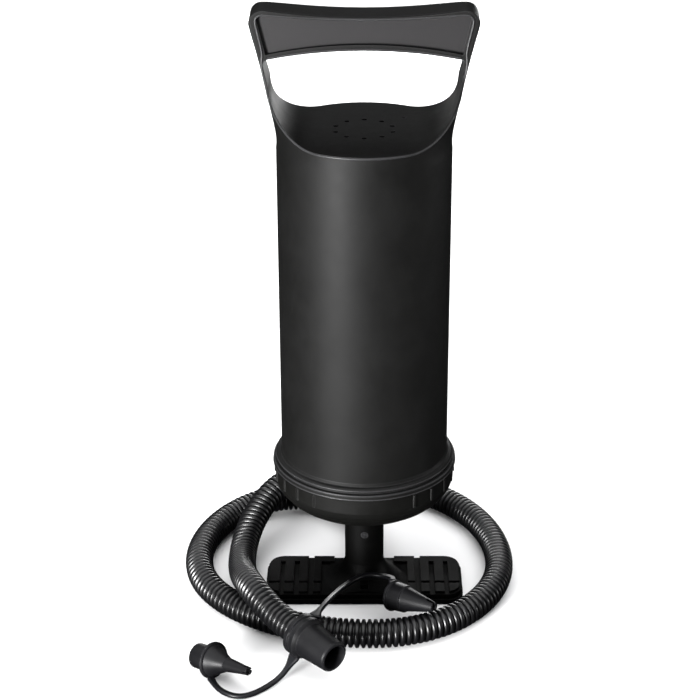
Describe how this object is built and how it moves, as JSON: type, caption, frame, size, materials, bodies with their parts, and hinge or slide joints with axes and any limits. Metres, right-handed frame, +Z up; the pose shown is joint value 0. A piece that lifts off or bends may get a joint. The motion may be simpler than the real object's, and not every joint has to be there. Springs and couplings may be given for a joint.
{
  "type": "double-action hand air pump",
  "caption": "Upright double-action hand pump: a barrel with a moulded handle slides on a rod fixed to a foot, with a corrugated hose and tethered nozzles.",
  "frame": {"origin": "centre of the foot's underside, on the floor and on the pump rod's axis", "axes": "+Z up along the rod, +X along the foot and the handle's grip, +Y to the back, where the hose leaves"},
  "size_m": [0.2031, 0.241, 0.3634],
  "materials": {
    "barrel_black": "satin, fine moulded grain",
    "cap_black": "satin",
    "foot_black": "matt",
    "rod_black": "smooth",
    "hose_black": "glossy ribs",
    "fitting_black": "soft satin",
    "strap_black": "satin",
    "seal_rubber": "matt",
    "piston_grey": "satin",
    "gland_white": "satin",
    "screw_steel": "zinc plated"
  },
  "bodies": {
    "foot": {"foot_base": "foot_black", "foot_cover": "foot_black", "foot_screws": "screw_steel", "neck_screws": "screw_steel", "pump_rod": "rod_black", "rod_plug": "rod_black", "rod_circlip": "screw_steel", "piston_upper": "piston_grey", "piston_lower": "piston_grey", "piston_seal": "seal_rubber", "piston_screw": "screw_steel", "stop_bumper": "seal_rubber", "hose_cuff": "fitting_black", "hose": "hose_black", "hose_adaptor": "fitting_black", "nozzle_a": "fitting_black", "nozzle_b": "fitting_black", "strap_a": "strap_black", "strap_b": "strap_black"},
    "gland": {"rod_gland": "gland_white", "rod_seal": "seal_rubber"},
    "barrel": {"barrel_handle": "barrel_black", "top_flap_pin": "piston_grey", "bottom_cap": "cap_black", "cap_gasket": "seal_rubber", "flap_keeper": "piston_grey", "gland_nut": "piston_grey"},
    "top_flap": {"top_intake_flap": "seal_rubber"},
    "cap_flap": {"cap_intake_flap": "seal_rubber"},
    "upper_flap": {"upper_outlet_flap": "seal_rubber"},
    "lower_flap": {"lower_outlet_flap": "seal_rubber"}
  },
  "joints": [
    {"name": "barrel_slide", "type": "slide", "parent": "foot", "child": "gland", "axis": [0, 0, 1], "range_m": [0, 0.178]},
    {"name": "barrel_turn", "type": "hinge", "parent": "gland", "child": "barrel", "pos_m": [0, 0, 0.07], "axis": [0, 0, 1], "continuous": true},
    {"name": "top_intake_lift", "type": "slide", "parent": "barrel", "child": "top_flap", "axis": [0, 0, -1], "range_m": [0, 0.0018], "stiffness_N_per_m": 120, "springref_m": -0.0002},
    {"name": "cap_intake_lift", "type": "slide", "parent": "barrel", "child": "cap_flap", "axis": [0, 0, 1], "range_m": [0, 0.0018], "stiffness_N_per_m": 120, "springref_m": -0.0002},
    {"name": "upper_outlet_lift", "type": "slide", "parent": "foot", "child": "upper_flap", "axis": [0, 0, -1], "range_m": [0, 0.0014], "stiffness_N_per_m": 120, "springref_m": -0.0002},
    {"name": "lower_outlet_lift", "type": "slide", "parent": "foot", "child": "lower_flap", "axis": [0, 0, 1], "range_m": [0, 0.0014], "stiffness_N_per_m": 120, "springref_m": -0.0002}
  ]
}
